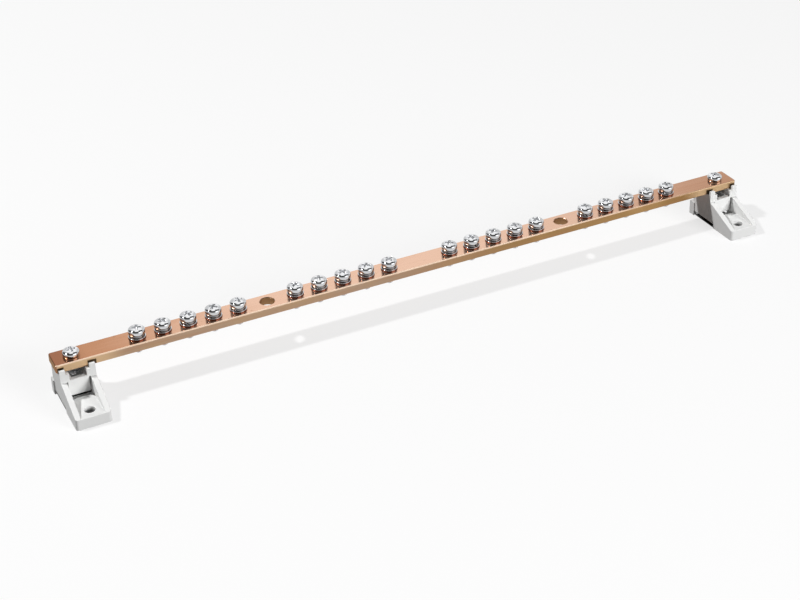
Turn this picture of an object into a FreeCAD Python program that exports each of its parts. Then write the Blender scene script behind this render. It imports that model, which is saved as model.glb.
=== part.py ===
import FreeCAD, Part
import os

import Sketcher

# Earth terminal bar: a flat copper bar that stands on two moulded insulating feet.
# Twenty terminal screws with spring washers and plain washers stand in the bar in four groups,
# two plain holes take lugs, and a screw at each end holds the bar to a nut in its foot.
#
# Frame: +X along the bar, +Y from the feet's fixing holes towards the bar, +Z up.
# The origin is on the mounting surface, midway between the two fixing holes. Millimetres.

doc = FreeCAD.newDocument("earth_terminal_bar")
sheet = doc.addObject("Spreadsheet::Sheet", "Sizes")

SIZES = [
    ("bar_width", 15, "copper flat, across"),
    ("bar_thickness", 5, "copper flat"),
    ("bar_corner", 1.2, "radius of the bar's corners seen from above"),
    ("bar_edge", 0.6, "radius along the rolled edges"),
    ("middle_gap", 40, "between the two inner groups of terminal screws"),
    ("terminal_pitch", 15, "screw to screw within a group"),
    ("terminals_per_group", 5, "screws in each of the four groups"),
    ("terminal_to_lug", 17.5, "lug hole to the screw on either side of it"),
    ("end_to_terminal", 37.5, "end screw to the nearest terminal screw"),
    ("end_margin", 11, "end screw to the bar's end"),
    ("lug_hole", 8.6, "diameter of the two plain holes"),
    ("lug_hole_chamfer", 0.3, "deburred rim of the plain holes"),
    ("thread_size", 5, "diameter of the tapped holes and of the nuts' bores"),
    ("thread_play", 0.05, "left between a screw and its thread, on the radius"),
    ("end_hole", 5.6, "clearance hole for each end screw"),
    ("screw_length", 12, "under the head"),
    ("screw_point", 0.7, "chamfer on the screw's end"),
    ("head_diameter", 9.5, "pan head"),
    ("head_side", 1.7, "height of the head's straight side"),
    ("head_height", 3.7, "height of the crown"),
    ("head_rim", 1.3, "radius between side and crown"),
    ("recess_span", 5.2, "cross recess, tip to tip"),
    ("recess_width", 1.2, "cross recess, one wing"),
    ("recess_depth", 2.4, "cross recess, below the crown"),
    ("recess_taper", 7, "degrees that the recess narrows by, each wall"),
    ("washer_diameter", 10, "plain washer"),
    ("washer_thickness", 1, "plain washer"),
    ("washer_bore", 5.4, "plain washer"),
    ("spring_diameter", 9.2, "spring washer"),
    ("spring_thickness", 1.6, "spring washer"),
    ("spring_bore", 5.3, "spring washer"),
    ("spring_slit", 0.9, "gap between the spring washer's ends"),
    ("spring_slant", 35, "degrees that the gap leans by"),
    ("nut_flats", 8, "across flats"),
    ("nut_thickness", 2.7, "thin nut"),
    ("nut_face", 7.6, "diameter of the flat face inside the nut's chamfer"),
    ("nut_chamfer", 0.4, "height of the chamfer at the nut's corners"),
    ("nut_play", 0.15, "left round the nut in its pocket"),
    ("fixing_to_bar", 27, "fixing hole to the bar's centre line"),
    ("seat_height", 21, "underside of the bar above the mounting surface"),
    ("foot_width", 20, "along the bar"),
    ("fixing_hole", 6.2, "diameter, through the shelf"),
    ("lip_reach", 7, "front lip beyond the fixing hole"),
    ("lip_height", 6.5, "front lip and shelf"),
    ("foot_edge", 0.4, "radius along the moulding's outer edges"),
    ("lip_corner", 1.6, "radius of the lip's upright corners"),
    ("block_reach", 3, "front of the prongs beyond the bar's front edge"),
    ("prong_width", 3.2, "each prong, along the bar"),
    ("prong_height", 2.85, "prong above the bar's underside"),
    ("prong_gap", 1.3, "open gap between a prong and the bar"),
    ("window_half", 4.95, "half the width of the nut's window"),
    ("web_thickness", 1, "over the nut"),
    ("web_reach", 2, "bar's front edge to the web over the nut"),
    ("sill_depth", 1, "sill below the window"),
    ("wall_setback", 0.5, "front wall behind the sill"),
    ("wall_slot", 0.95, "slot between the front wall and each cheek"),
    ("wall_slot_reach", 4, "depth of that slot behind the wall's face"),
    ("cheek_width", 3.2, "each cheek, along the bar"),
    ("cheek_drop", 6, "where a cheek starts to slope, before the bar's front edge"),
    ("cheek_height", 15.2, "cheek where it starts to slope"),
    ("trench_gap", 3.2, "front wall to the raised shelf"),
    ("trench_floor", 4.4, "floor of the trench, above the mounting surface"),
    ("wall_foot", 6.9, "bottom edge of the front wall, above the mounting surface"),
    ("shelf_corner", 4.5, "radius of the shelf's two back corners"),
    ("boss_wall", 2, "plastic left round the fixing hole underneath"),
    ("relief_depth", 4.2, "hollows under the shelf, one on either side of the fixing hole"),
    ("relief_rim", 2, "plastic left round those hollows"),
    ("relief_corner", 0.8, "radius of their corners"),
    ("arch_height", 3, "arch under the column"),
    ("arch_front", 7.5, "front of the arch, before the bar's front edge"),
    ("arch_heel", 2, "thickness left behind the arch"),
    ("core_height", 14.8, "hollow inside the column"),
    ("core_wall", 2.4, "side and back walls of that hollow"),
    ("wall_thickness", 2, "front wall"),
    ("rail_gap", 6.9, "between the two rails under the nut"),
    ("heel_width", 21.4, "rear pad, along the bar"),
    ("heel_reach", 2.5, "rear pad beyond the bar's back edge"),
    ("heel_height", 9, "rear pad"),
]
for row, (alias, value, meaning) in enumerate(SIZES, start=1):
    sheet.set(f"A{row}", alias)
    sheet.set(f"B{row}", str(value))
    sheet.setAlias(f"B{row}", alias)
    sheet.set(f"C{row}", meaning)
doc.recompute()


def value_of(formula):
    """The number that a formula on the sheet's sizes gives."""
    return float(sheet.evalExpression(formula))


# Places that several pieces share, as formulas on the sheet.
BAR_Y = "Sizes.fixing_to_bar"
BAR_FRONT = "(Sizes.fixing_to_bar - Sizes.bar_width / 2)"
BAR_BACK = "(Sizes.fixing_to_bar + Sizes.bar_width / 2)"
BAR_TOP = "(Sizes.seat_height + Sizes.bar_thickness)"
GROUP_RUN = "((Sizes.terminals_per_group - 1) * Sizes.terminal_pitch)"
GROUP_3 = "(Sizes.middle_gap / 2)"
LUG_X = f"({GROUP_3} + {GROUP_RUN} + Sizes.terminal_to_lug)"
GROUP_4 = f"({LUG_X} + Sizes.terminal_to_lug)"
END_X = f"({GROUP_4} + {GROUP_RUN} + Sizes.end_to_terminal)"
BAR_HALF = f"({END_X} + Sizes.end_margin)"
GROUP_2 = f"(-{GROUP_3} - {GROUP_RUN})"
GROUP_1 = f"(-{GROUP_4} - {GROUP_RUN})"
GROUP_STARTS = [GROUP_1, GROUP_2, GROUP_3, GROUP_4]
SHANK_RADIUS = "(Sizes.thread_size / 2 - Sizes.thread_play)"

subparts = []


def keep(thing, label):
    """Marks an object as one sub-part of the assembly, under the name that its file gets."""
    thing.Label = label
    subparts.append(thing)
    return thing


def place(thing, across="0", depth="0", height="0", turn=0):
    """Puts a piece at formulas for X, Y and Z, turned about the upright through its own origin."""
    upright = FreeCAD.Vector(0, 0, 1)
    thing.Placement = FreeCAD.Placement(FreeCAD.Vector(), FreeCAD.Rotation(upright, turn))
    for axis, formula in (("x", across), ("y", depth), ("z", height)):
        thing.setExpression(f"Placement.Base.{axis}", formula)


def sketch_on(body, role, name, offset="0"):
    """A sketch on one of the body's own origin planes, moved along that plane's normal."""
    plane = next(f for f in body.Origin.OriginFeatures if f.Role == role)
    sketch = body.newObject("Sketcher::SketchObject", name)
    sketch.AttachmentSupport = [(plane, "")]
    sketch.MapMode = "FlatFace"
    sketch.setExpression("AttachmentOffset.Base.z", offset)
    return sketch


def pin_point(sketch, geometry, end, across, up):
    """Holds one end of a line or arc at formulas for its two coordinates in the sketch."""
    for kind, axis, formula in (("DistanceX", -2, across), ("DistanceY", -1, up)):
        if formula == "0":
            sketch.addConstraint(Sketcher.Constraint("PointOnObject", geometry, end, axis))
            continue
        rule = Sketcher.Constraint(kind, -1, 1, geometry, end, value_of(formula))
        index = sketch.addConstraint(rule)
        sketch.setExpression(f"Constraints[{index}]", formula)


def add_outline(sketch, points):
    """A closed outline of straight lines through points given as pairs of formulas."""
    spots = [FreeCAD.Vector(value_of(a), value_of(b), 0) for a, b in points]
    first = sketch.GeometryCount
    count = len(points)
    for i in range(count):
        sketch.addGeometry(Part.LineSegment(spots[i], spots[(i + 1) % count]), False)
    for i in range(count):
        following = first + (i + 1) % count
        sketch.addConstraint(Sketcher.Constraint("Coincident", first + i, 2, following, 1))
        pin_point(sketch, first + i, 1, *points[i])


def add_rectangle(sketch, left, right, low, high):
    """A rectangle between four formulas."""
    add_outline(sketch, [(left, low), (right, low), (right, high), (left, high)])


def add_circle(sketch, across, up, diameter):
    """A circle at formulas for its centre and its diameter."""
    spot = FreeCAD.Vector(value_of(across), value_of(up), 0)
    radius = value_of(f"{diameter} / 2")
    normal = FreeCAD.Vector(0, 0, 1)
    index = sketch.addGeometry(Part.Circle(spot, normal, radius), False)
    pin_point(sketch, index, 3, across, up)
    rule = sketch.addConstraint(Sketcher.Constraint("Radius", index, radius))
    sketch.setExpression(f"Constraints[{rule}]", f"{diameter} / 2")


def pad(body, sketch, name, length, both_ways=False):
    """Raises a sketch along its normal, or half each way."""
    feature = body.newObject("PartDesign::Pad", name)
    feature.Profile = sketch
    feature.setExpression("Length", length)
    feature.SideType = "Symmetric" if both_ways else "One side"
    return feature


def pocket(body, sketch, name, length, upwards=False):
    """Cuts a sketch into the body, against its normal unless it goes upwards."""
    feature = body.newObject("PartDesign::Pocket", name)
    feature.Profile = sketch
    feature.Type = "Length"
    feature.setExpression("Length", length)
    feature.Reversed = upwards
    return feature


def edges_where(shape, wanted):
    """Names of a shape's edges for which a test on the edge holds."""
    return [f"Edge{i}" for i, edge in enumerate(shape.Edges, start=1) if wanted(edge)]


def round_edges(body, name, base, radius, wanted):
    """Rounds the edges of the last feature for which a test holds."""
    doc.recompute()
    feature = body.newObject("PartDesign::Fillet", name)
    feature.Base = (base, edges_where(base.Shape, wanted))
    feature.setExpression("Radius", radius)
    return feature


def make_bar():
    """The copper flat, with its rolled edges, tapped holes, lug holes and end holes."""
    body = doc.addObject("PartDesign::Body", "copper_bar")
    plan = sketch_on(body, "XY_Plane", "bar_plan")
    side = "Sizes.bar_width / 2"
    add_rectangle(plan, f"-{BAR_HALF}", BAR_HALF, f"-{side}", side)
    flat = pad(body, plan, "bar_flat", "Sizes.bar_thickness")

    def upright(edge):
        return edge.BoundBox.ZLength > value_of("Sizes.bar_thickness") / 2

    def rolled(edge):
        return edge.BoundBox.ZLength < value_of("Sizes.bar_edge") / 10

    corners = round_edges(body, "bar_corners", flat, "Sizes.bar_corner", upright)
    round_edges(body, "bar_edges", corners, "Sizes.bar_edge", rolled)

    for group, start in enumerate(GROUP_STARTS, start=1):
        holes = sketch_on(body, "XY_Plane", f"terminal_hole_{group}")
        add_circle(holes, start, "0", "Sizes.thread_size")
        hole = pocket(body, holes, f"tapped_{group}", "Sizes.bar_thickness", upwards=True)
        row = body.newObject("PartDesign::LinearPattern", f"tapped_row_{group}")
        row.Originals = [hole]
        row.Direction = (holes, ["H_Axis"])
        row.Mode = "Spacing"
        row.setExpression("Offset", "Sizes.terminal_pitch")
        row.setExpression("Occurrences", "Sizes.terminals_per_group")
        body.Tip = row
    large = sketch_on(body, "XY_Plane", "lug_holes")
    ends = sketch_on(body, "XY_Plane", "end_holes")
    for sign in ("-", ""):
        add_circle(large, f"{sign}{LUG_X}", "0", "Sizes.lug_hole")
        add_circle(ends, f"{sign}{END_X}", "0", "Sizes.end_hole")
    pocket(body, ends, "end_bores", "Sizes.bar_thickness", upwards=True)
    bores = pocket(body, large, "lug_bores", "Sizes.bar_thickness", upwards=True)
    doc.recompute()

    def lug_rim(edge):
        wide = value_of("Sizes.lug_hole")
        box = edge.BoundBox
        return abs(box.XLength - wide) + abs(box.YLength - wide) < wide / 100

    rims = body.newObject("PartDesign::Chamfer", "lug_rims")
    rims.Base = (bores, edges_where(bores.Shape, lug_rim))
    rims.setExpression("Size", "Sizes.lug_hole_chamfer")
    place(body, "0", BAR_Y, "Sizes.seat_height")
    keep(body, "copper_bar")


def make_screw(label, across, height, turn):
    """A pan-head screw with a cross recess. Its origin is under its head, on its axis."""
    body = doc.addObject("PartDesign::Body", label)
    half = sketch_on(body, "XZ_Plane", f"{label}_half")
    head = "Sizes.head_diameter / 2"
    outline = [
        ("0", "Sizes.head_height"),
        ("0", "-Sizes.screw_length"),
        (f"{SHANK_RADIUS} - Sizes.screw_point", "-Sizes.screw_length"),
        (SHANK_RADIUS, "-Sizes.screw_length + Sizes.screw_point"),
        (SHANK_RADIUS, "0"),
        (head, "0"),
        (head, "Sizes.head_side"),
    ]
    spots = [FreeCAD.Vector(value_of(a), value_of(b), 0) for a, b in outline]
    last = len(outline) - 1
    for i in range(last):
        half.addGeometry(Part.LineSegment(spots[i], spots[i + 1]), False)
        if i:
            half.addConstraint(Sketcher.Constraint("Coincident", i - 1, 2, i, 1))
        pin_point(half, i, 1, *outline[i])
    pin_point(half, last - 1, 2, *outline[last])

    # The crown is an arc whose centre is on the axis: radius = (a^2 + s^2) / 2s for a half-width
    # a and a rise s.
    rise = spots[0].y - spots[last].y
    reach = (spots[last].x ** 2 + rise**2) / (2 * rise)
    centre = FreeCAD.Vector(0, spots[0].y - reach, 0)
    middle = centre + (spots[0] + spots[last] - centre * 2).normalize() * reach
    crown = half.addGeometry(Part.Arc(spots[last], middle, spots[0]), False)
    half.addConstraint(Sketcher.Constraint("Coincident", crown, 1, last - 1, 2))
    half.addConstraint(Sketcher.Constraint("Coincident", crown, 2, 0, 1))
    half.addConstraint(Sketcher.Constraint("PointOnObject", crown, 3, -2))
    turned = body.newObject("PartDesign::Revolution", f"{label}_turned")
    turned.Profile = half
    turned.ReferenceAxis = (half, ["V_Axis"])
    turned.Angle = 360

    def rim(edge):
        level = value_of("Sizes.head_side")
        box = edge.BoundBox
        return abs(box.ZMin - level) + abs(box.ZMax - level) < 0.01

    round_edges(body, f"{label}_rim", turned, "Sizes.head_rim", rim)
    cross = sketch_on(body, "XY_Plane", f"{label}_cross", "Sizes.head_height")
    wing, arm = "Sizes.recess_width / 2", "Sizes.recess_span / 2"
    add_outline(
        cross,
        [
            (arm, f"-{wing}"),
            (arm, wing),
            (wing, wing),
            (wing, arm),
            (f"-{wing}", arm),
            (f"-{wing}", wing),
            (f"-{arm}", wing),
            (f"-{arm}", f"-{wing}"),
            (f"-{wing}", f"-{wing}"),
            (f"-{wing}", f"-{arm}"),
            (wing, f"-{arm}"),
            (wing, f"-{wing}"),
        ],
    )
    recess = pocket(body, cross, f"{label}_recess", "Sizes.recess_depth")
    recess.setExpression("TaperAngle", "-Sizes.recess_taper")
    place(body, across, BAR_Y, height, turn)
    keep(body, label)


def make_ring(name, diameter, bore, thickness):
    """A flat ring about the upright axis, its underside at its origin."""
    disc = doc.addObject("Part::Cylinder", f"{name}_disc")
    disc.setExpression("Radius", f"{diameter} / 2")
    disc.setExpression("Height", thickness)
    hole = doc.addObject("Part::Cylinder", f"{name}_bore")
    hole.setExpression("Radius", f"{bore} / 2")
    hole.setExpression("Height", thickness)
    ring = doc.addObject("Part::Cut", name)
    ring.Base = disc
    ring.Tool = hole
    return ring


def make_washer(label, across):
    """A plain washer on the bar's top."""
    washer = make_ring(
        label, "Sizes.washer_diameter", "Sizes.washer_bore", "Sizes.washer_thickness"
    )
    place(washer, across, BAR_Y, BAR_TOP)
    keep(washer, label)


def make_spring_washer(name, across, turn):
    """A spring washer pressed flat: a ring with a slanting gap, on top of a plain washer."""
    ring = make_ring(
        f"{name}_ring", "Sizes.spring_diameter", "Sizes.spring_bore", "Sizes.spring_thickness"
    )
    slit = doc.addObject("Part::Box", f"{name}_slit")
    slit.setExpression("Length", "Sizes.spring_diameter")
    slit.setExpression("Width", "Sizes.spring_slit")
    slit.setExpression("Height", "3 * Sizes.spring_thickness")
    lean = FreeCAD.Rotation(FreeCAD.Vector(1, 0, 0), value_of("Sizes.spring_slant"))
    slit.Placement = FreeCAD.Placement(FreeCAD.Vector(), lean)
    slit.setExpression("Placement.Rotation.Angle", "Sizes.spring_slant")
    slit.setExpression("Placement.Base.z", "-Sizes.spring_thickness / 2")
    split = doc.addObject("Part::Cut", name)
    split.Base = ring
    split.Tool = slit
    place(split, across, BAR_Y, f"{BAR_TOP} + Sizes.washer_thickness", turn)
    return split


def make_nut(label, across):
    """A thin hexagon nut, two corners along the bar, its top against the web over it."""
    corner = "(Sizes.nut_flats / 2 / cos(30 deg))"
    face = "(Sizes.nut_face / 2)"
    blank = doc.addObject("Part::Prism", f"{label}_blank")
    blank.Polygon = 6
    blank.setExpression("Circumradius", corner)
    blank.setExpression("Height", "Sizes.nut_thickness")
    # Each cone leaves the flat face at one end and clears the corners a chamfer's height from it.
    slope = f"({corner} - {face}) / Sizes.nut_chamfer"
    trims = []
    for near, far in (("Radius1", "Radius2"), ("Radius2", "Radius1")):
        cone = doc.addObject("Part::Cone", f"{label}_trim_{near}")
        cone.setExpression(near, face)
        cone.setExpression(far, f"{face} + {slope} * Sizes.nut_thickness")
        cone.setExpression("Height", "Sizes.nut_thickness")
        trims.append(cone)
    shaped = doc.addObject("Part::MultiCommon", f"{label}_shaped")
    shaped.Shapes = [blank, *trims]
    hole = doc.addObject("Part::Cylinder", f"{label}_thread")
    hole.setExpression("Radius", "Sizes.thread_size / 2")
    hole.setExpression("Height", "Sizes.nut_thickness")
    nut = doc.addObject("Part::Cut", label)
    nut.Base = shaped
    nut.Tool = hole
    place(nut, across, BAR_Y, "Sizes.seat_height - Sizes.web_thickness - Sizes.nut_thickness")
    keep(nut, label)


# Places on a foot, across (X from its middle), deep (Y from its fixing hole) and high.
BLOCK_FRONT = f"({BAR_FRONT} - Sizes.block_reach)"
WALL_FRONT = f"({BLOCK_FRONT} + Sizes.wall_setback)"
WINDOW_FLOOR = (
    "(Sizes.seat_height - Sizes.web_thickness - Sizes.nut_thickness - Sizes.nut_play)"
)
SILL_LOW = f"({WINDOW_FLOOR} - Sizes.sill_depth)"
CHEEK_IN = "(Sizes.foot_width / 2 - Sizes.cheek_width)"
WALL_HALF = f"({CHEEK_IN} - Sizes.wall_slot)"
SHELF_BACK = f"({WALL_FRONT} - Sizes.trench_gap)"
ARCH_FRONT = f"({BAR_FRONT} - Sizes.arch_front)"
ARCH_BACK = f"({BAR_BACK} - Sizes.arch_heel)"


def foot_profile():
    """The foot's side outline: lip, sloping cheek, prong, seat, column and arch."""
    prong_top = "Sizes.seat_height + Sizes.prong_height"
    prong_back = f"{BAR_FRONT} - Sizes.prong_gap"
    return [
        ("-Sizes.lip_reach", "0"),
        (ARCH_FRONT, "0"),
        (ARCH_FRONT, "Sizes.arch_height"),
        (ARCH_BACK, "Sizes.arch_height"),
        (ARCH_BACK, "0"),
        (BAR_BACK, "0"),
        (BAR_BACK, "Sizes.seat_height"),
        (prong_back, "Sizes.seat_height"),
        (prong_back, prong_top),
        (BLOCK_FRONT, prong_top),
        (BLOCK_FRONT, SILL_LOW),
        (f"{BAR_FRONT} - Sizes.cheek_drop", "Sizes.cheek_height"),
        ("-Sizes.lip_reach", "Sizes.lip_height"),
    ]


def add_trench(sketch):
    """The trench between the front wall and the raised shelf, whose two back corners are arcs of
    a quarter circle."""
    corner = "Sizes.shelf_corner"
    inner = f"({CHEEK_IN} - {corner})"
    low = f"({SHELF_BACK} - {corner})"
    around = [
        (inner, SHELF_BACK),
        (CHEEK_IN, low),
        (CHEEK_IN, WALL_FRONT),
        (f"-{CHEEK_IN}", WALL_FRONT),
        (f"-{CHEEK_IN}", low),
        (f"-{inner}", SHELF_BACK),
    ]
    spots = [FreeCAD.Vector(value_of(a), value_of(b), 0) for a, b in around]
    radius = value_of(corner)
    for i, spot in enumerate(spots):
        following = (i + 1) % len(spots)
        target = spots[following]
        if spot.x == target.x or spot.y == target.y:
            edge = sketch.addGeometry(Part.LineSegment(spot, target), False)
            pin_point(sketch, edge, 1, *around[i])
            pin_point(sketch, edge, 2, *around[following])
            continue
        centre = FreeCAD.Vector(min(spot.x, target.x, key=abs), min(spot.y, target.y), 0)
        middle = centre + (spot + target - centre * 2).normalize() * radius
        edge = sketch.addGeometry(Part.Arc(spot, middle, target), False)
        # A sketch keeps its arcs counter-clockwise, so these two start at their far end.
        pin_point(sketch, edge, 1, *around[following])
        pin_point(sketch, edge, 2, *around[i])
        rule = sketch.addConstraint(Sketcher.Constraint("Radius", edge, radius))
        sketch.setExpression(f"Constraints[{rule}]", corner)


SLOT_FRONT = f"({WALL_FRONT} - Sizes.wall_setback)"
CORE_START = f"({WALL_FRONT} + Sizes.wall_thickness)"
CORE_END = f"({BAR_BACK} - Sizes.core_wall)"
BEFORE_LIP = "(-2 * Sizes.lip_reach)"
WINDOW_HALF = "Sizes.window_half"
NUT_FLAT = "(Sizes.nut_flats / 2 + Sizes.nut_play)"
RELIEF_FRONT = "(Sizes.relief_rim - Sizes.lip_reach)"
RELIEF_BACK = f"({ARCH_FRONT} - Sizes.relief_rim)"


def raise_foot(body, label):
    """The moulding's outside: the side outline carried across, and the rear pad."""
    side = sketch_on(body, "YZ_Plane", f"{label}_side")
    add_outline(side, foot_profile())
    pad(body, side, f"{label}_block", "Sizes.foot_width", both_ways=True)

    heel = sketch_on(body, "XY_Plane", f"{label}_heel_plan")
    heel_half = "Sizes.heel_width / 2"
    heel_back = f"{BAR_BACK} + Sizes.heel_reach"
    add_rectangle(heel, f"-{heel_half}", heel_half, f"{BAR_BACK} - Sizes.arch_heel", heel_back)
    pad(body, heel, f"{label}_heel", "Sizes.heel_height")


def open_front(body, label):
    """Between the cheeks: the channel, the set-back wall with its slots, the trench before it,
    and the gap between the two prongs."""
    channel = sketch_on(body, "XY_Plane", f"{label}_channel_plan", "Sizes.lip_height")
    add_rectangle(channel, f"-{CHEEK_IN}", CHEEK_IN, BEFORE_LIP, BLOCK_FRONT)
    pocket(body, channel, f"{label}_channel", "Sizes.seat_height", upwards=True)

    wall = sketch_on(body, "XY_Plane", f"{label}_wall_plan", "Sizes.lip_height")
    add_rectangle(wall, f"-{CHEEK_IN}", CHEEK_IN, BEFORE_LIP, WALL_FRONT)
    pocket(body, wall, f"{label}_wall", f"{SILL_LOW} - Sizes.lip_height", upwards=True)

    trench = sketch_on(body, "XY_Plane", f"{label}_trench_plan", "Sizes.lip_height")
    add_trench(trench)
    pocket(body, trench, f"{label}_trench", "Sizes.lip_height - Sizes.trench_floor")

    slots = sketch_on(body, "XY_Plane", f"{label}_slot_plan", "Sizes.trench_floor")
    slot_back = f"{WALL_FRONT} + Sizes.wall_slot_reach"
    add_rectangle(slots, WALL_HALF, CHEEK_IN, SLOT_FRONT, slot_back)
    add_rectangle(slots, f"-{CHEEK_IN}", f"-{WALL_HALF}", SLOT_FRONT, slot_back)
    slot_height = f"{SILL_LOW} - Sizes.trench_floor"
    pocket(body, slots, f"{label}_slots", slot_height, upwards=True)

    between = sketch_on(body, "XY_Plane", f"{label}_prong_plan", "Sizes.seat_height")
    prong_in = "(Sizes.foot_width / 2 - Sizes.prong_width)"
    add_rectangle(between, f"-{prong_in}", prong_in, BEFORE_LIP, BAR_FRONT)
    pocket(body, between, f"{label}_prongs", "2 * Sizes.prong_height", upwards=True)


def open_nut_room(body, label):
    """The window and the room behind it that holds the nut by its six sides."""
    window = sketch_on(body, "XY_Plane", f"{label}_window_plan", "Sizes.seat_height")
    web_front = f"{BAR_FRONT} + Sizes.web_reach"
    add_rectangle(window, f"-{WINDOW_HALF}", WINDOW_HALF, BEFORE_LIP, web_front)
    pocket(body, window, f"{label}_window", f"Sizes.seat_height - {WINDOW_FLOOR}")

    nut_room = sketch_on(body, "XY_Plane", f"{label}_nut_plan", WINDOW_FLOOR)
    back_corner = f"({NUT_FLAT} * tan(30 deg))"
    add_outline(
        nut_room,
        [
            (f"-{WINDOW_HALF}", BLOCK_FRONT),
            (WINDOW_HALF, BLOCK_FRONT),
            (WINDOW_HALF, BAR_Y),
            (back_corner, f"{BAR_Y} + {NUT_FLAT}"),
            (f"-{back_corner}", f"{BAR_Y} + {NUT_FLAT}"),
            (f"-{WINDOW_HALF}", BAR_Y),
        ],
    )
    room_height = "Sizes.nut_thickness + Sizes.nut_play"
    pocket(body, nut_room, f"{label}_nut_room", room_height, upwards=True)


def hollow_column(body, label):
    """The column's core from below, which leaves two rails under the nut, and the gap between
    the front wall's bottom edge and the trench."""
    core = sketch_on(body, "XY_Plane", f"{label}_core_plan")
    core_half = "(Sizes.foot_width / 2 - Sizes.core_wall)"
    add_rectangle(core, f"-{core_half}", core_half, CORE_START, CORE_END)
    pocket(body, core, f"{label}_core", "Sizes.core_height", upwards=True)

    rails = sketch_on(body, "XY_Plane", f"{label}_rail_plan", WINDOW_FLOOR)
    add_rectangle(rails, "-Sizes.rail_gap / 2", "Sizes.rail_gap / 2", CORE_START, CORE_END)
    pocket(body, rails, f"{label}_rails", f"{WINDOW_FLOOR} - Sizes.core_height")

    under_wall = sketch_on(body, "XY_Plane", f"{label}_under_wall_plan", "Sizes.trench_floor")
    add_rectangle(under_wall, f"-{CHEEK_IN}", CHEEK_IN, SLOT_FRONT, CORE_START)
    gap_height = "Sizes.wall_foot - Sizes.trench_floor"
    pocket(body, under_wall, f"{label}_under_wall", gap_height, upwards=True)


def bore_foot(body, label):
    """The end screw's hole, the fixing hole and the hollows on either side of it underneath."""
    bore = sketch_on(body, "XY_Plane", f"{label}_bore_plan", "Sizes.seat_height")
    add_circle(bore, "0", BAR_Y, "Sizes.end_hole")
    pocket(body, bore, f"{label}_bore", "Sizes.seat_height")

    fixing = sketch_on(body, "XY_Plane", f"{label}_fixing_plan", "Sizes.lip_height")
    add_circle(fixing, "0", "0", "Sizes.fixing_hole")
    pocket(body, fixing, f"{label}_fixing", "Sizes.lip_height")

    relief = sketch_on(body, "XY_Plane", f"{label}_relief_plan")
    inner = "(Sizes.fixing_hole / 2 + Sizes.boss_wall)"
    outer = "(Sizes.foot_width / 2 - Sizes.relief_rim)"
    add_rectangle(relief, inner, outer, RELIEF_FRONT, RELIEF_BACK)
    add_rectangle(relief, f"-{outer}", f"-{inner}", RELIEF_FRONT, RELIEF_BACK)
    return pocket(body, relief, f"{label}_reliefs", "Sizes.relief_depth", upwards=True)


def same(first, second):
    """Whether two lengths are equal to a hundredth of a millimetre."""
    return abs(first - second) < 0.01


def round_foot(body, label, bored):
    """Rounds the hollows' corners, the lip's corners and the edges that a hand meets."""
    relief_top = value_of("Sizes.relief_depth")
    relief_ends = (value_of(RELIEF_FRONT), value_of(RELIEF_BACK))
    lip_front = -value_of("Sizes.lip_reach")
    lip_top = value_of("Sizes.lip_height")
    lip_back = lip_front + 2 * value_of("Sizes.lip_corner")
    half_width = value_of("Sizes.foot_width / 2")
    seat = value_of("Sizes.seat_height")

    def relief_upright(edge):
        box = edge.BoundBox
        at_end = any(same(box.Center.y, end) for end in relief_ends)
        return at_end and same(box.ZLength, relief_top) and same(box.XLength, 0)

    def lip_upright(edge):
        box = edge.BoundBox
        outside = same(abs(box.Center.x), half_width)
        return outside and same(box.YMax, lip_front) and not same(box.ZLength, 0)

    def hand_edge(edge):
        box = edge.BoundBox
        level = same(box.ZLength, 0)
        outside = min(abs(box.XMin), abs(box.XMax)) > half_width - 0.01
        lip = level and same(box.ZMin, lip_top) and box.YMin < lip_back
        cheek = outside and min(box.YLength, box.ZLength) > 1 and box.ZMax < seat
        prong = level and box.ZMin > seat and not same(box.ZMin, seat)
        return lip or cheek or prong

    name = f"{label}_relief_corners"
    relieved = round_edges(body, name, bored, "Sizes.relief_corner", relief_upright)
    name = f"{label}_lip_corners"
    cornered = round_edges(body, name, relieved, "Sizes.lip_corner", lip_upright)
    round_edges(body, f"{label}_edges", cornered, "Sizes.foot_edge", hand_edge)


def make_foot(label, across):
    """A moulded foot: a shelf with the fixing hole between two sloping cheeks, and a column that
    carries the bar on its seat behind two prongs and holds the nut behind its window."""
    body = doc.addObject("PartDesign::Body", label)
    raise_foot(body, label)
    open_front(body, label)
    open_nut_room(body, label)
    hollow_column(body, label)
    bored = bore_foot(body, label)
    round_foot(body, label, bored)
    place(body, across)
    keep(body, label)


# No two neighbours were tightened to the same angle: each recess and each spring washer's gap is
# turned on from the last one by its own step, in degrees.
RECESS_STEP = 37
SLIT_STEP = 83
QUARTER_TURN = 90
FULL_TURN = 360

make_bar()
for end, sign in (("left", "-"), ("right", "")):
    make_foot(f"{end}_foot", f"{sign}{END_X}")
    make_nut(f"{end}_nut", f"{sign}{END_X}")
    make_screw(f"{end}_end_screw", f"{sign}{END_X}", BAR_TOP, RECESS_STEP)

terminals = round(value_of("Sizes.terminals_per_group"))
screw_seat = f"{BAR_TOP} + Sizes.washer_thickness + Sizes.spring_thickness"
number = 0
for group, start in enumerate(GROUP_STARTS, start=1):
    springs = []
    for step in range(terminals):
        number += 1
        across = f"{start} + {step} * Sizes.terminal_pitch"
        recess_turn = number * RECESS_STEP % QUARTER_TURN
        slit_turn = number * SLIT_STEP % FULL_TURN
        make_screw(f"terminal_screw_{number}", across, screw_seat, recess_turn)
        make_washer(f"terminal_washer_{number}", across)
        springs.append(make_spring_washer(f"spring_{number}", across, slit_turn))
    row = doc.addObject("Part::Compound", f"spring_washers_{group}")
    row.Links = springs
    keep(row, f"spring_washers_{group}")

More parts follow.
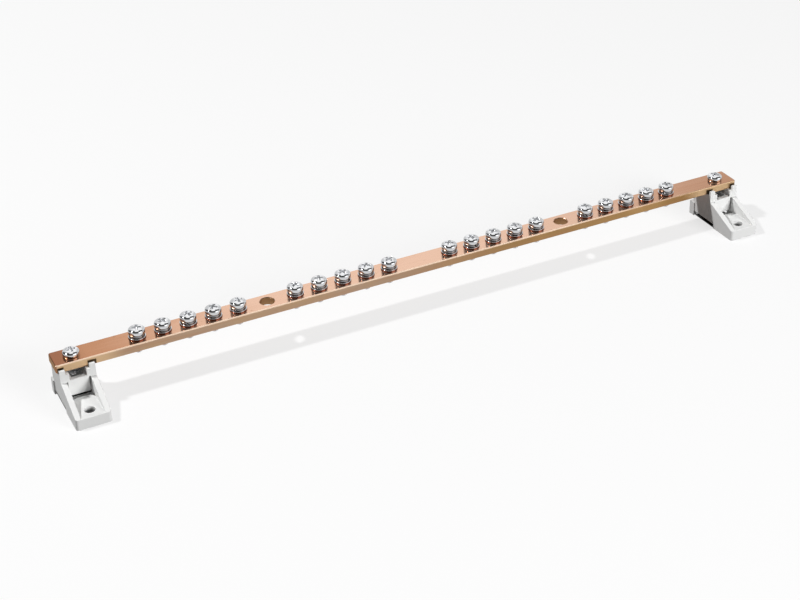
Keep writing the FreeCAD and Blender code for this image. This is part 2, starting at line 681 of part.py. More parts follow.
doc.recompute()
for thing in doc.Objects:
    for trouble in ("Invalid", "Error"):
        if trouble in thing.State:
            raise RuntimeError(f"{thing.Name} is {trouble}")
for thing in subparts:
    if thing.Shape.isNull() or not thing.Shape.isValid():
        raise RuntimeError(f"{thing.Label} has no valid shape")

os.makedirs("parts", exist_ok=True)
for thing in subparts:
    thing.Shape.exportStep(f"parts/{thing.Label}.step")
print(len(subparts), "sub-parts written")
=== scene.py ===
# %% [markdown]
# # An earth terminal bar
# A flat copper bar stands on two moulded feet and carries twenty terminal screws in four groups.
# The frame brings the plain solids of every piece, each in its place. This script gives them the
# looks: threads, rounded edges, a spring washer's slit, rolled copper, plated steel and plastic.

# %% Load the frame
import math

import bmesh
import bpy
import numpy as np
from mathutils import Matrix, Vector


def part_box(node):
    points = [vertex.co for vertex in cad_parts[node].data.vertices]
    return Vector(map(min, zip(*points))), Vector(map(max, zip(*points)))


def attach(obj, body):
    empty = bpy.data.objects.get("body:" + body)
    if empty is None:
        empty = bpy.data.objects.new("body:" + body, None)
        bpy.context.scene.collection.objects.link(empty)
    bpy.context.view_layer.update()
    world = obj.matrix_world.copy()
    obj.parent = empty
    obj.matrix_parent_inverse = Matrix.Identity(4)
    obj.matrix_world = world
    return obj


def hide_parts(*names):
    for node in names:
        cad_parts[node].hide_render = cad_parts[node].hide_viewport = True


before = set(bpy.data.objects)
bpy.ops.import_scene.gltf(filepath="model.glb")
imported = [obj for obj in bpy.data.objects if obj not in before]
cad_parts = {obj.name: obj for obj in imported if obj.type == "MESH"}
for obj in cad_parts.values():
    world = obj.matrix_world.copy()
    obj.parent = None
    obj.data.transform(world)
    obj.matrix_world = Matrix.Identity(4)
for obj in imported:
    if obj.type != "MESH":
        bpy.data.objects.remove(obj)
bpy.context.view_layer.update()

MM = 0.001
print("pieces in the frame:", len(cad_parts))

# %% [markdown]
# ## The camera
# The picture was taken from in front, a little to the left and above, with a long lens. A heading,
# a dip and a small roll turn the camera, and the lens is shifted because the bar sits high in the
# picture. It is made first, because every later choice is judged through it.

# %% Place the camera
CAMERA_PLACE = Vector((-378.25, -737.5, 521.8)) * MM
HEADING = math.radians(25.64)
DIP = math.radians(27.41)
ROLL = math.radians(1.61)

camera_data = bpy.data.cameras.new("camera")
camera_data.sensor_width = 36
camera_data.lens = 74.8
camera_data.shift_y = -0.15
camera = bpy.data.objects.new("camera", camera_data)
bpy.context.scene.collection.objects.link(camera)
camera.matrix_world = (
    Matrix.Translation(CAMERA_PLACE)
    @ Matrix.Rotation(-HEADING, 4, "Z")
    @ Matrix.Rotation(math.pi / 2 - DIP, 4, "X")
    @ Matrix.Rotation(-ROLL, 4, "Z")
)
bpy.context.scene.camera = camera
print("camera at", [round(c, 3) for c in camera.location])

# %% [markdown]
# ## A small language for materials
# A material is a net of nodes. Written one by one they hide what the finish does, so a wire, one
# output of a node, is wrapped in a class: arithmetic on wires adds the Math nodes by itself. Any
# other node comes from one method, and a finish adds what most materials here share: noise on
# object coordinates, bumps, and a surface that takes them.

# %% Wires that can be added and multiplied
class Wire:
    """One output of a node. Arithmetic on it adds a Math node and gives that node's output."""

    def __init__(self, net, socket):
        self.net = net
        self.socket = socket

    def maths(self, operation, first, second):
        return self.net.node("ShaderNodeMath", {"operation": operation}, {0: first, 1: second})

    def __add__(self, other):
        return self.maths("ADD", self, other)

    __radd__ = __add__

    def __sub__(self, other):
        return self.maths("SUBTRACT", self, other)

    def __rsub__(self, other):
        return self.maths("SUBTRACT", other, self)

    def __mul__(self, other):
        return self.maths("MULTIPLY", self, other)

    __rmul__ = __mul__

    def __pow__(self, other):
        return self.maths("POWER", self, other)

    def __abs__(self):
        return self.maths("ABSOLUTE", self, 0)


print("a wire knows:", [name for name in vars(Wire) if name.startswith("__") and name != "__doc__"])

# %% A net that makes its own nodes
class Net:
    """A node tree whose nodes all come from one method."""

    def __init__(self, tree):
        self.tree = tree

    def plug(self, socket, value):
        """Links a wire into a socket, or writes a plain value there."""
        if isinstance(value, Wire):
            self.tree.links.new(value.socket, socket)
        else:
            socket.default_value = value

    def node(self, kind, settings, inputs, output=0):
        """Adds a node: its settings first, then values or wires into its sockets."""
        made = self.tree.nodes.new(kind)
        for name, value in settings.items():
            setattr(made, name, value)
        for name, value in inputs.items():
            self.plug(made.inputs[name], value)
        return Wire(self, made.outputs[output])

    def several(self, kind, inputs, names):
        """Wires from the named outputs of one new node."""
        first = self.node(kind, {}, inputs, names[0])
        outputs = first.socket.node.outputs
        return [Wire(self, outputs[name]) for name in names]

    def blend(self, factor, first, second):
        """A colour between two colours."""
        settings = {"data_type": "RGBA", "clamp_factor": True}
        return self.node("ShaderNodeMix", settings, {0: factor, 6: first, 7: second}, 2)

    def between(self, value, low, high):
        """Runs from 0 to 1, softly, while a value runs from low to high."""
        settings = {"interpolation_type": "SMOOTHSTEP"}
        inputs = {"Value": value, "From Min": low, "From Max": high}
        return self.node("ShaderNodeMapRange", settings, inputs)

    def inside(self, value, low, high, soft):
        """1 while a value is between low and high, with a soft step at both."""
        return self.between(value, low - soft, low) * (1 - self.between(value, high, high + soft))


print("a net makes:", [name for name in vars(Net) if not name.startswith("_")])

# %% A finish on top of it
class Finish(Net):
    """A material with its textures and its surface."""

    def __init__(self, name):
        self.material = bpy.data.materials.new(name)
        self.material.use_nodes = True
        super().__init__(self.material.node_tree)
        self.shader = self.tree.nodes["Principled BSDF"]

    def place(self, scale=(1, 1, 1)):
        """Object coordinates in metres, stretched along each axis."""
        where = self.node("ShaderNodeTexCoord", {}, {}, "Object")
        return self.node("ShaderNodeMapping", {}, {"Vector": where, "Scale": scale})

    def axes(self):
        """Object coordinates along X, Y and Z in metres, as three wires."""
        return self.several("ShaderNodeSeparateXYZ", {"Vector": self.place()}, "XYZ")

    def noise(self, scale, stretch=(1, 1, 1), detail=3):
        """Cloudy noise between 0 and 1, with scale features per metre."""
        inputs = {"Vector": self.place(stretch), "Scale": scale, "Detail": detail}
        inputs["Roughness"] = 0.55
        return self.node("ShaderNodeTexNoise", {}, inputs, "Fac")

    def bump(self, height, distance, strength):
        """A normal that follows a height, with its full rise as a distance in metres."""
        inputs = {"Height": height, "Distance": distance, "Strength": strength}
        return self.node("ShaderNodeBump", {}, inputs, "Normal")

    def surface(self, **values):
        """Puts values or wires into the shader, whose sockets are named with _ for a blank."""
        for name, value in values.items():
            self.plug(self.shader.inputs[name.replace("_", " ")], value)


print("a finish adds:", [name for name in vars(Finish) if not name.startswith("_")])

# %% [markdown]
# ## Copper
# The bar is rolled and drawn, so what little pattern it has runs along it: long faint streaks, a
# few wider patches where air has browned it, and fine scratches. It is pink in the middle, brown
# towards its ends, and darkest at its left tip. Bare copper's colour comes from its base colour at
# full metalness.

# %% Copper seen from above
copper = Finish("rolled_copper")
PINK_COPPER = (0.85, 0.55, 0.40, 1)
BROWN_COPPER = (0.62, 0.30, 0.16, 1)
DARK_COPPER = (0.42, 0.21, 0.11, 1)
TIP_COPPER = (0.36, 0.14, 0.07, 1)
ALONG_THE_BAR = (0.04, 1, 1)
WIDE = (0.5, 1, 1)
FADE_FROM = 100 * MM
FADE_TO = 215 * MM
TIP_FROM = 203 * MM
TIP_TO = 219 * MM

along, deep, high = copper.axes()
streaks = copper.noise(900, ALONG_THE_BAR, detail=4)
patches = copper.noise(45, WIDE, detail=2)
to_left_end = 1 - copper.between(along, -FADE_TO, -FADE_FROM)
to_right_end = copper.between(along, FADE_FROM, FADE_TO)
toward_ends = to_left_end * 1.1 + to_right_end * 0.8
browning = toward_ends + (patches - 0.5) * 0.5 + (streaks - 0.5) * 0.35
colour = copper.blend(browning, PINK_COPPER, BROWN_COPPER)
tip = 1 - copper.between(along, -TIP_TO, -TIP_FROM)
colour = copper.blend(tip * 0.8, colour, TIP_COPPER)
spots = copper.between(copper.noise(260, detail=2), 0.66, 0.78)
colour = copper.blend(spots * 0.35, colour, DARK_COPPER)
print("nodes for the top's copper:", len(copper.tree.nodes))

# %% [markdown]
# ## The bar's front side
# The side is duller and more golden than the top. It has broad golden patches, turns browner to
# the right, and is light again over the feet. Mask by mask, the side's colour is mixed and laid
# over the top's.

# %% Copper seen from in front
LEFT_SIDE_COPPER = (0.60, 0.42, 0.29, 1)
RIGHT_SIDE_COPPER = (0.45, 0.26, 0.08, 1)
GOLD_SIDE_COPPER = (0.74, 0.46, 0.19, 1)
END_SIDE_COPPER = (0.95, 0.67, 0.39, 1)
BAR_FRONT = 19.5 * MM
RIGHT_FROM = -50 * MM
RIGHT_TO = 80 * MM
FOOT_FROM = 182 * MM
FOOT_TO = 198 * MM

right_half = copper.between(along, RIGHT_FROM, RIGHT_TO)
side_colour = copper.blend(right_half, LEFT_SIDE_COPPER, RIGHT_SIDE_COPPER)
side_colour = copper.blend((streaks - 0.35) * 1.2, side_colour, BROWN_COPPER)
side_colour = copper.blend((patches - 0.45) * 2.2, side_colour, GOLD_SIDE_COPPER)
over_a_foot = copper.between(abs(along), FOOT_FROM, FOOT_TO)
side_colour = copper.blend(over_a_foot * 0.8, side_colour, END_SIDE_COPPER)
side = 1 - copper.between(deep, BAR_FRONT, BAR_FRONT + 0.3 * MM)
colour = copper.blend(side * 0.9, colour, side_colour)
print("with the front side:", len(copper.tree.nodes))

# %% [markdown]
# ## Painted shade, a painted highlight and holes
# Three places differ from the rest. Behind the feet's prongs hardly any light reaches the copper.
# The front's upper edge has a painted highlight, a light and half matt band where its rounding
# catches the light. The walls of the holes are darker, browner and rough. Each is a box of soft
# steps on the coordinates.

# %% Behind the prongs
SHADED_COPPER = (0.03, 0.02, 0.01, 1)
PRONG = 4 * MM
BESIDE_PRONG = 0.8 * MM
SOFT = 0.1 * MM

near_foot, far_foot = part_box("right_foot")
outward = abs(along)
inner_prong = copper.inside(outward, near_foot.x - BESIDE_PRONG, near_foot.x + PRONG, SOFT)
outer_prong = copper.inside(outward, far_foot.x - PRONG, far_foot.x + BESIDE_PRONG, SOFT)
below_tops = 1 - copper.between(high, far_foot.z + 0.2 * MM, far_foot.z + 0.6 * MM)
behind_prong = side * below_tops * (inner_prong + outer_prong)
colour = copper.blend(behind_prong * 0.9, colour, SHADED_COPPER)
print("a foot reaches along the bar:", round(near_foot.x, 4), "to", round(far_foot.x, 4))

# %% The painted highlight on the edge
EDGE_HIGHLIGHT_COPPER = (1.0, 0.78, 0.60, 1)
BAR_TOP = 26 * MM

at_front = 1 - copper.between(deep, BAR_FRONT + 0.4 * MM, BAR_FRONT + 1.0 * MM)
at_top = copper.between(high, BAR_TOP - 0.9 * MM, BAR_TOP - 0.3 * MM)
# Painted highlight: the front's upper edge is painted light and half matt, where its rounding
# catches the light.
edge_highlight = at_front * at_top * (1 - to_right_end * 0.8)
colour = copper.blend(edge_highlight * 0.8, colour, EDGE_HIGHLIGHT_COPPER)
print("the edge lies at", BAR_FRONT, BAR_TOP)

# %% The holes' walls, and all of it together
HOLE_COPPER = (0.42, 0.24, 0.09, 1)
BAR_BOTTOM = 21 * MM
BAR_BACK = 34.5 * MM

in_hole = copper.inside(high, BAR_BOTTOM + 0.3 * MM, BAR_TOP - 0.3 * MM, SOFT)
in_hole = in_hole * copper.inside(deep, BAR_FRONT + 0.7 * MM, BAR_BACK - 0.7 * MM, SOFT)
colour = copper.blend(in_hole * 0.8, colour, HOLE_COPPER)
scratches = copper.noise(2600, ALONG_THE_BAR, detail=2)
base_roughness = 0.17 + side * 0.15 + edge_highlight * 0.2 + in_hole * 0.4
copper.surface(
    Base_Color=colour,
    Metallic=1 - edge_highlight * 0.7,
    Roughness=base_roughness + (streaks - 0.5) * 0.10 + (patches - 0.5) * 0.08,
    Normal=copper.bump(scratches * 0.6 + streaks, 0.02 * MM, 0.6),
)
print("copper nodes:", len(copper.tree.nodes))

# %% [markdown]
# ## Plated steel
# Screws, washers and nuts are steel with a bright coat. The coat is even, so only its gloss
# changes: it is duller where it was tumbled against other screws. The plain washers lie on the
# bar, and their lowest rim has a painted reflection of its copper. The spring washers are darker
# and less bright, and so are the nuts, whose dark colour is partly painted shade.

# %% Plated steel
DULLER = 0.88
COPPER_REFLECTION = (0.34, 0.10, 0.04, 1)


def plated_steel(name, colour, roughness, copper_reflection=0):
    """Bright coated steel with faint clouds and tumbling marks, and with a painted reflection of
    the copper on the rim that lies on the bar."""
    made = Finish(name)
    clouds = made.noise(420, detail=2)
    marks = made.noise(3200, detail=3)
    coat = made.blend(clouds, colour, tuple(c * DULLER for c in colour[:3]) + (1,))
    if copper_reflection:
        _, _, height = made.axes()
        rim = 1 - made.between(height, BAR_TOP + 0.5 * MM, BAR_TOP + 0.95 * MM)
        # Painted reflection: the rim that lies on the bar is painted in the dark red of the copper
        # it mirrors.
        coat = made.blend(rim * copper_reflection, coat, COPPER_REFLECTION)
    made.surface(
        Base_Color=coat,
        Metallic=1.0,
        Roughness=roughness + (clouds - 0.5) * 0.12 + (marks - 0.5) * 0.08,
        Normal=made.bump(marks, 0.01 * MM, 0.5),
    )
    return made


screw_coat = plated_steel("nickel_screw", (0.95, 0.96, 0.98, 1), 0.07)
washer_coat = plated_steel("nickel_washer", (0.88, 0.89, 0.90, 1), 0.14, copper_reflection=0.85)
spring_coat = plated_steel("spring_steel", (0.38, 0.39, 0.41, 1), 0.12)
# The nuts' dark colour is partly painted shade, for the deep shade in the feet where they sit.
nut_coat = plated_steel("zinc_nut", (0.30, 0.31, 0.32, 1), 0.48)
print("steels:", [made.material.name for made in (screw_coat, washer_coat, spring_coat, nut_coat)])

# %% [markdown]
# ## Moulded plastic
# The feet are moulded in a light grey thermoplastic. The mould was spark eroded, which leaves a
# fine even grain, and the flow leaves the colour a little cloudy. Inside the fixing hole the
# plastic is shaded, darker the deeper it is: the mask is a cylinder about the hole's axis.

# %% Plastic
FIXING_HALF = 212.5 * MM
FIXING_RADIUS = 3.1 * MM
HOLE_SHADE = (0.12, 0.12, 0.12, 1)

plastic = Finish("moulded_grey")
flow = plastic.noise(55, detail=2)
grain = plastic.noise(5200, detail=2)
grey = plastic.blend(flow, (0.80, 0.80, 0.79, 1), (0.76, 0.765, 0.76, 1))
plastic_along, plastic_deep, plastic_high = plastic.axes()
off_axis = ((abs(plastic_along) - FIXING_HALF) ** 2 + plastic_deep**2) ** 0.5
in_fixing = 1 - plastic.between(off_axis, FIXING_RADIUS + 0.1 * MM, FIXING_RADIUS + 0.2 * MM)
in_fixing = in_fixing * (1 - plastic.between(plastic_high, 3.6 * MM, 5.9 * MM))
plastic.surface(
    Base_Color=plastic.blend(in_fixing * 0.9, grey, HOLE_SHADE),
    Roughness=0.46 + (grain - 0.5) * 0.14,
    Normal=plastic.bump(grain, 0.03 * MM, 0.5),
)
print("plastic nodes:", len(plastic.tree.nodes))

# %% [markdown]
# ## Surfaces on a grid
# Every turned or stamped piece here is one surface over two parameters: a row number that walks
# along its section and a column number that walks round its axis. The points are worked out as
# whole arrays, and one function makes the mesh of any such grid.

# %% From a grid of points to a mesh
def skin(name, points, rows_close=False, columns_close=True, caps="poles"):
    """Joins a grid of points (rows, columns, 3), in metres, with four-sided faces. Rows or columns
    that close on themselves join the last to the first. The first and last row are closed by a
    point in their middle (poles), and open ends of the columns by one flat face each (ends)."""
    rows, columns, _ = points.shape
    index = np.arange(rows * columns).reshape(rows, columns)
    if rows_close:
        index = np.vstack([index, index[:1]])
    if columns_close:
        index = np.hstack([index, index[:, :1]])
    corners = (index[:-1, :-1], index[1:, :-1], index[1:, 1:], index[:-1, 1:])
    faces = np.stack([c.ravel() for c in corners], 1).tolist()
    spots = points.reshape(-1, 3)
    if caps == "poles":
        middles = points[[0, -1]].mean(1)
        first, last = len(spots), len(spots) + 1
        spots = np.vstack([spots, middles])
        around = index[0]
        faces += np.stack([np.full(columns, first), around[:-1], around[1:]], 1).tolist()
        around = index[-1]
        faces += np.stack([around[:-1], np.full(columns, last), around[1:]], 1).tolist()
    elif caps == "ends":
        faces.append(index[:-1, 0][::-1].tolist())
        faces.append(index[:-1, -1].tolist())
    mesh = bpy.data.meshes.new(name)
    mesh.from_pydata(spots.tolist(), [], faces)
    mesh.shade_smooth()
    return mesh


print("a skin closes its ends with:", ["poles", "ends", "none"])

# %% Hang a mesh in the scene
def hang(mesh, finish, replaced):
    """Makes the object of a mesh: finish, place in the record, and the solid that it stands for."""
    piece = bpy.data.objects.new(mesh.name, mesh)
    bpy.context.scene.collection.objects.link(piece)
    mesh.materials.append(finish.material)
    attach(piece, "root")
    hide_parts(replaced)
    return piece


fasteners = [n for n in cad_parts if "screw" in n or "washer" in n]
print("solids that a grid will stand for:", len(fasteners))

# %% [markdown]
# ## The screws
# A pan head has an upright side that rounds over into a low crown with a cross recess. Below it
# the thread runs down to a short point. One grid makes all of it: walking down the rows, the
# radius grows over the crown, falls under the head and then swings in and out along the thread,
# whose crests climb as the columns go round. The recess is a depth taken off the crown. Lengths
# are in millimetres here, as on a drawing of the screw.

# %% The head's section
HEAD_RADIUS = 4.75
HEAD_HEIGHT = 3.7
SHOULDER = 1.5
ROUNDNESS = 2.7
COLUMNS = 96


def crown_height(radius):
    """Height over the head's seat at a radius: a quarter of a superellipse above the shoulder,
    shoulder + rise * (1 - (radius / head radius) ^ n) ^ (1 / n)."""
    share = np.clip(1 - (radius / HEAD_RADIUS) ** ROUNDNESS, 0, 1)
    return SHOULDER + (HEAD_HEIGHT - SHOULDER) * share ** (1 / ROUNDNESS)


print("crown at half the radius:", round(float(crown_height(HEAD_RADIUS / 2)), 2), "mm")

# %% The cross recess
RECESS_REACH = 2.55
RECESS_HALF = 0.68
RECESS_DEPTH = 2.7
WALL_RUN = 0.18


def recess_depth(x, y):
    """Depth under the crown of two crossing wings. Along a wing the depth falls from the middle to
    its tip, and its walls slope over a short run: depth * run(half width - |across|) *
    run(reach - |along|), where run climbs from 0 to 1 over the wall."""

    def run(distance):
        return np.clip(distance / WALL_RUN, 0, 1)

    def wing(length, width):
        depth = RECESS_DEPTH * (1 - 0.5 * np.abs(length) / RECESS_REACH)
        within = run(RECESS_HALF + WALL_RUN / 2 - np.abs(width))
        return depth * within * run(RECESS_REACH + WALL_RUN / 2 - np.abs(length))

    return np.maximum(wing(x, y), wing(y, x))


print("recess in its middle:", float(recess_depth(0.0, 0.0)), "mm deep")

# %% The rows of the whole screw
SHANK_RADIUS = 2.45
SCREW_LENGTH = 12.0
THREAD_PITCH = 0.8
THREAD_DEPTH = 0.42
THREAD_START = 0.2
THREAD_FADE = 0.6
ROWS_PER_TURN = 7
TOP_ROW = 0.05
POINT = 0.8
MIDDLE_ROW = 0.06
PAST_RECESS = 0.4
RECESS_ROWS = 30
ROUNDED_ROWS = 12
# Four rows: the foot of the upright side, its broken lower edge, and the seat, out and in.
SEAT_RADIUS = np.array([HEAD_RADIUS, HEAD_RADIUS, 4.6, SHANK_RADIUS + 0.2])[:, None]
SEAT_HEIGHT = np.array([SHOULDER - 0.6, 0.2, 0.0, 0.0])[:, None]


def screw_points(turn):
    """A screw about the upright axis with its head's seat at height 0, in millimetres. The thread's
    radius is shank - depth * (a triangle wave of height / pitch + angle / full turn)."""
    angle = np.linspace(0, 2 * np.pi, COLUMNS, endpoint=False)[None, :]
    inner = np.linspace(MIDDLE_ROW, RECESS_REACH + PAST_RECESS, RECESS_ROWS)
    bend_start = np.arcsin((inner[-1] / HEAD_RADIUS) ** (ROUNDNESS / 2))
    bend = np.linspace(bend_start, np.pi / 2, ROUNDED_ROWS)[1:]
    outer = HEAD_RADIUS * np.sin(bend) ** (2 / ROUNDNESS)
    radius = np.concatenate([inner, outer])[:, None] + 0 * angle
    height = crown_height(radius)
    height = height - recess_depth(radius * np.cos(angle - turn), radius * np.sin(angle - turn))
    turns = SCREW_LENGTH / THREAD_PITCH
    down = np.linspace(TOP_ROW, SCREW_LENGTH, int(turns * ROWS_PER_TURN))[:, None]
    wave = np.abs((down / THREAD_PITCH + angle / (2 * np.pi)) % 1 * 2 - 1)
    fade = np.clip((down - THREAD_START) / THREAD_FADE, 0, 1)
    thread = SHANK_RADIUS - THREAD_DEPTH * wave * fade
    thread = np.minimum(thread, SHANK_RADIUS - POINT + (SCREW_LENGTH - down))
    radius = np.vstack([radius, SEAT_RADIUS + 0 * angle, thread])
    height = np.vstack([height, SEAT_HEIGHT + 0 * angle, -down + 0 * angle])
    return np.stack([radius * np.cos(angle), radius * np.sin(angle), height], -1)


print("a screw's grid:", screw_points(0).shape)

# %% Every screw on its own axis
RECESS_STEP = math.radians(37)


def axis_of(node):
    """Where a solid's upright axis stands, and its highest level, in metres."""
    low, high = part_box(node)
    return np.array([(low.x + high.x) / 2, (low.y + high.y) / 2, high.z])


screw_names = [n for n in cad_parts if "screw" in n]
for number, name in enumerate(sorted(screw_names)):
    spot = axis_of(name) - np.array([0, 0, HEAD_HEIGHT * MM])
    grid = screw_points(number * RECESS_STEP) * MM + spot
    hang(skin(f"{name}_turned", grid), screw_coat, name)
print("screws:", len(screw_names), "with", COLUMNS * len(grid), "points each")

# %% [markdown]
# ## The plain washers
# A plain washer is punched from sheet, which rounds its edges a little. Its section is a closed
# loop that is carried round the axis.

# %% A rounded section
def rounded_section(inner, outer, low, high, power, points):
    """A closed loop of (radius, height): a superellipse, |x|^n + |y|^n = 1, stretched to the box
    between two radii and two heights. The power rises with sharper corners."""
    t = np.linspace(0, 2 * np.pi, points, endpoint=False)
    x = np.sign(np.cos(t)) * np.abs(np.cos(t)) ** (2 / power)
    y = np.sign(np.sin(t)) * np.abs(np.sin(t)) ** (2 / power)
    radius = (inner + outer) / 2 + (outer - inner) / 2 * x
    height = (low + high) / 2 + (high - low) / 2 * y
    return radius[:, None], height[:, None]


print("a section's corner rounds by", round(1 - 0.5 ** (1 / 7), 3), "of its half width at power 7")

# %% Plain washers
WASHER_BORE = 2.7
WASHER_POWER = 7
SECTION_POINTS = 28
washer_names = [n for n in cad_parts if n.startswith("terminal_washer")]
for name in washer_names:
    low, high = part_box(name)
    spot = axis_of(name) * np.array([1, 1, 0])
    outside = (high.x - low.x) / 2 / MM
    levels = (low.z / MM, high.z / MM)
    radius, height = rounded_section(WASHER_BORE, outside, *levels, WASHER_POWER, SECTION_POINTS)
    angle = np.linspace(0, 2 * np.pi, COLUMNS, endpoint=False)[None, :]
    ring = [radius * np.cos(angle), radius * np.sin(angle), height + 0 * angle]
    grid = np.stack(ring, -1) * MM + spot
    mesh = skin(f"{name}_ring", grid[::-1], rows_close=True, caps="none")
    hang(mesh, washer_coat, name)
print("plain washers:", len(washer_names))

# %% [markdown]
# ## The spring washers
# A spring washer is a bar of nearly square section, wound one turn and cut off on a slant. The
# same kind of section is carried round, but its columns don't close: they stop at the slit, and
# the angle at which they stop changes with the height, which makes the slit lean.

# %% One spring washer
SPRING_BORE = 2.65
SPRING_OUTSIDE = 4.6
SPRING_POWER = 6
SPRING_POINTS = 24
SLIT = 0.9
SLIT_LEAN = math.radians(35)
SLIT_STEP = math.radians(83)


def spring_points(low, high, turn):
    """A split ring about the upright axis. At each height it runs from slit / 2 + lean to a full
    turn less slit / 2, plus lean, where lean = height off the middle * tan(slant) / radius."""
    sides = (SPRING_BORE, SPRING_OUTSIDE, low, high)
    radius, height = rounded_section(*sides, SPRING_POWER, SPRING_POINTS)
    lean = -(height - (low + high) / 2) * math.tan(SLIT_LEAN) / radius
    half = SLIT / 2 / radius
    share = np.linspace(0, 1, COLUMNS)[None, :]
    angle = turn + lean + half + share * (2 * np.pi - 2 * half)
    return np.stack([radius * np.cos(angle), radius * np.sin(angle), height + 0 * angle], -1)


print("a spring washer's grid:", spring_points(0, 1.6, 0).shape)

# %% Four rows of five
TERMINAL_PITCH = 15 * MM
GROUPS = 4
PER_GROUP = 5


def joined(name, meshes):
    """One mesh from several, as one piece of the frame holds a whole row."""
    whole = bmesh.new()
    for part in meshes:
        whole.from_mesh(part)
    mesh = bpy.data.meshes.new(name)
    whole.to_mesh(mesh)
    whole.free()
    mesh.shade_smooth()
    return mesh


for group in range(GROUPS):
    name = f"spring_washers_{group + 1}"
    low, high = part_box(name)
    first_centre = low.x + (high.x - low.x - (PER_GROUP - 1) * TERMINAL_PITCH) / 2
    rings = []
    for step in range(PER_GROUP):
        turn = (group * PER_GROUP + step + 1) * SLIT_STEP
        centre = [first_centre + step * TERMINAL_PITCH, (low.y + high.y) / 2, 0]
        grid = spring_points(low.z / MM, high.z / MM, turn) * MM + np.array(centre)
        rings.append(skin(name, grid[::-1], rows_close=True, columns_close=False, caps="ends"))
    hang(joined(f"{name}_split", rings), spring_coat, name)
print("spring washers:", GROUPS * PER_GROUP)

# %% [markdown]
# ## The frame's own pieces
# The bar, the feet and the nuts already have their true shape in the frame, so they only get
# their finish.

# %% Paint them
COATS = {
    "copper_bar": copper,
    "left_foot": plastic,
    "right_foot": plastic,
    "left_nut": nut_coat,
    "right_nut": nut_coat,
}
for name, finish in COATS.items():
    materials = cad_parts[name].data.materials
    materials.clear()
    materials.append(finish.material)
print("painted:", len(COATS))

# %% [markdown]
# ## The floor
# The floor is white and has the object's shadow on it. Most of the white that the camera sees is
# the floor's own light, so it stays white while the lamps stay low, and metal mirrors it a little
# darker. For soft light the floor is grey, so that it doesn't light the object from below. Under
# the feet, where no light gets in, it is nearly black.

# %% Floor
FLOOR_HALF = 3.0
RIM = 1.5 * MM
SHADE_SOFT = 0.5 * MM
FLOOR_SEEN = (0.90, 0.90, 0.90, 1)
FLOOR_IN_SOFT_LIGHT = (0.14, 0.14, 0.14, 1)
FLOOR_UNDER_FOOT = (0.03, 0.03, 0.03, 1)
OWN_LIGHT_SEEN = 0.72
OWN_LIGHT_MIRRORED = 0.62

floor_mesh = bpy.data.meshes.new("floor")
signs = ((-1, -1), (1, -1), (1, 1), (-1, 1))
floor_corners = [(x * FLOOR_HALF, y * FLOOR_HALF, 0) for x, y in signs]
floor_mesh.from_pydata(floor_corners, [], [(0, 1, 2, 3)])
floor = bpy.data.objects.new("floor", floor_mesh)
bpy.context.scene.collection.objects.link(floor)

floor_paint = Finish("white_floor")
seen, mirrored = floor_paint.several("ShaderNodeLightPath", {}, ("Is Camera Ray", "Is Glossy Ray"))
floor_along, floor_deep, _ = floor_paint.axes()
near, far = near_foot + Vector((RIM, RIM, 0)), far_foot - Vector((RIM, RIM, 0))
under_foot = floor_paint.inside(abs(floor_along), near.x, far.x, SHADE_SOFT)
under_foot = under_foot * floor_paint.inside(floor_deep, near.y, far.y, SHADE_SOFT)
seen = seen * (1 - under_foot)
shade = floor_paint.blend(seen, FLOOR_IN_SOFT_LIGHT, FLOOR_SEEN)
shade = floor_paint.blend(under_foot, shade, FLOOR_UNDER_FOOT)
matt = floor_paint.node("ShaderNodeBsdfDiffuse", {}, {"Color": shade}, "BSDF")
bright = floor_paint.node("ShaderNodeEmission", {}, {"Color": (1, 1, 1, 1)}, "Emission")
own_light = seen * OWN_LIGHT_SEEN + mirrored * OWN_LIGHT_MIRRORED
ground = floor_paint.node("ShaderNodeMixShader", {}, {0: own_light, 1: matt, 2: bright}, "Shader")
floor_output = floor_paint.tree.nodes["Material Output"]
floor_paint.plug(floor_output.inputs["Surface"], ground)
floor_mesh.materials.append(floor_paint.material)
print("floor:", 2 * FLOOR_HALF, "m square")

# %% [markdown]
# ## The lamps
# The key light is a small lamp behind the bar, to the left and high up, so the shadows are crisp
# and fall to the right. A wide soft lamp fills in from the front right. Metal doesn't mirror that
# one: its reflection would burn out the copper for someone who looks from behind.

# %% Lamps
def soft_box(name, place, width, depth, power):
    """A lamp with a flat face that looks at the middle of the floor."""
    data = bpy.data.lights.new(name, "AREA")
    data.shape = "RECTANGLE"
    data.size = width
    data.size_y = depth
    data.energy = power
    lamp = bpy.data.objects.new(name, data)
    lamp.location = place
    lamp.rotation_euler = (-Vector(place)).to_track_quat("-Z", "Y").to_euler()
    bpy.context.scene.collection.objects.link(lamp)
    return lamp


key = soft_box("key", (-1.4, 0.68, 2.0), 0.18, 0.18, 46)
fill = soft_box("fill", (0.8, -1.7, 0.65), 1.0, 0.8, 38)
fill.visible_glossy = False
print("lamps:", key.name, fill.name)

# %% [markdown]
# ## The room
# Metal shows the room round it, so the room is drawn as a mirror sees it: dark, with a few white
# cards. A wide card stands behind the bar and fades to both sides low down, a small one hangs
# overhead, one stands in front to the right, and a dim one stands past each end of the bar. Low in
# front there is a dim wall. What stays dark draws the dark lines in the bright heads. The camera
# itself sees plain white.

# %% Where a look goes
world = bpy.data.worlds.new("studio")
bpy.context.scene.world = world
world.use_nodes = True
room = Net(world.node_tree)
look = room.node("ShaderNodeTexCoord", {}, {}, "Generated")
_, look_back, look_up = room.several("ShaderNodeSeparateXYZ", {"Vector": look}, "XYZ")


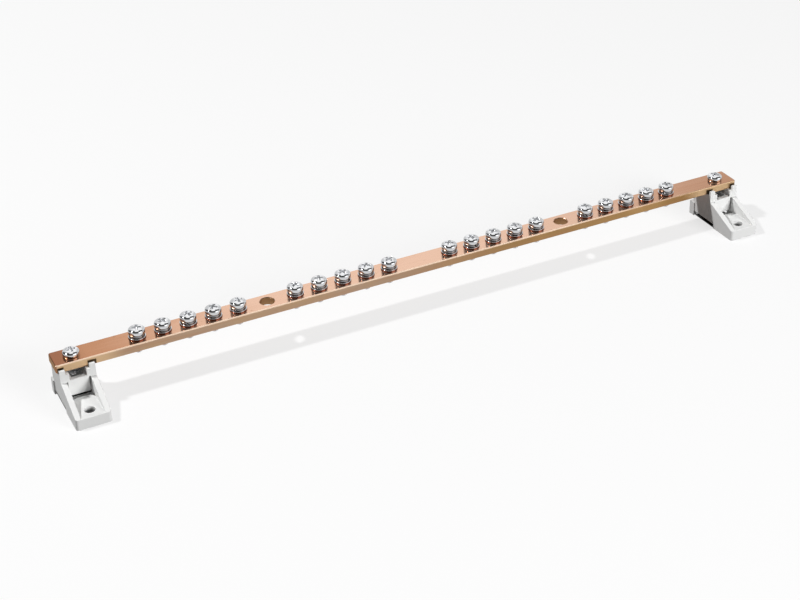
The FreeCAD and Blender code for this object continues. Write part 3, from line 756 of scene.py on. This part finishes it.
def against(direction):
    """How far the look goes along a direction, from -1 to 1: their dot product."""
    settings = {"operation": "DOT_PRODUCT"}
    return room.node("ShaderNodeVectorMath", settings, {0: look, 1: direction}, "Value")


def card(heading, rise, reach, soft):
    """1 inside a round card that reaches so many degrees from its middle, with a soft rim. Its
    middle is given by its heading from +Y to +X and its rise over the horizon, in degrees."""
    turned, raised = math.radians(heading), math.radians(rise)
    flat = math.cos(raised)
    middle = (math.sin(turned) * flat, math.cos(turned) * flat, math.sin(raised))
    rim, core = math.cos(math.radians(reach + soft)), math.cos(math.radians(reach))
    return room.between(against(middle), rim, core)


def beside(heading):
    """How far the look is off the upright plane through a heading, as a sine."""
    turned = math.radians(heading)
    return abs(against((math.cos(turned), -math.sin(turned), 0)))


print("the room's first nodes:", len(room.tree.nodes))

# %% The cards
DARK, GREY, DIM, WHITE, BRIGHT = 0.05, 0.25, 0.4, 0.95, 1.2

low_down = 1 - room.between(look_up, 0.62, 0.76)
fade = room.between(beside(23), 0.04, 0.34) * low_down
behind = card(25, 20, 48, 4)
above = card(25, 84, 12, 4) * (1 - behind)
in_front = card(146, 23, 23, 3)
at_left = card(268, 14, 24, 6)
at_right = card(90, 16, 18, 6)
wall = (1 - room.between(look_up, 0.30, 0.36)) * (1 - room.between(look_back, -0.3, 0.0))
white_cards = (behind * (1 - fade * 0.4) + above) * WHITE + in_front * BRIGHT
in_mirrors = DARK + white_cards + (at_left + at_right) * DIM + wall * GREY
print("with the cards:", len(room.tree.nodes))

# %% World light
SOFT_LIGHT = 0.10
rays = ("Is Camera Ray", "Is Glossy Ray", "Is Transmission Ray")
to_camera, glossy, through = room.several("ShaderNodeLightPath", {}, rays)
to_metal = glossy + through
strength = to_camera + to_metal * in_mirrors + (1 - to_camera - to_metal) * SOFT_LIGHT
backdrop = room.tree.nodes["Background"]
backdrop.inputs["Color"].default_value = (1, 1, 1, 1)
room.plug(backdrop.inputs["Strength"], strength)
print("room nodes:", len(room.tree.nodes))

# %% [markdown]
# ## Finish
# The colours are shown as they are written.

# %% Finish
bpy.context.scene.view_settings.view_transform = "Standard"
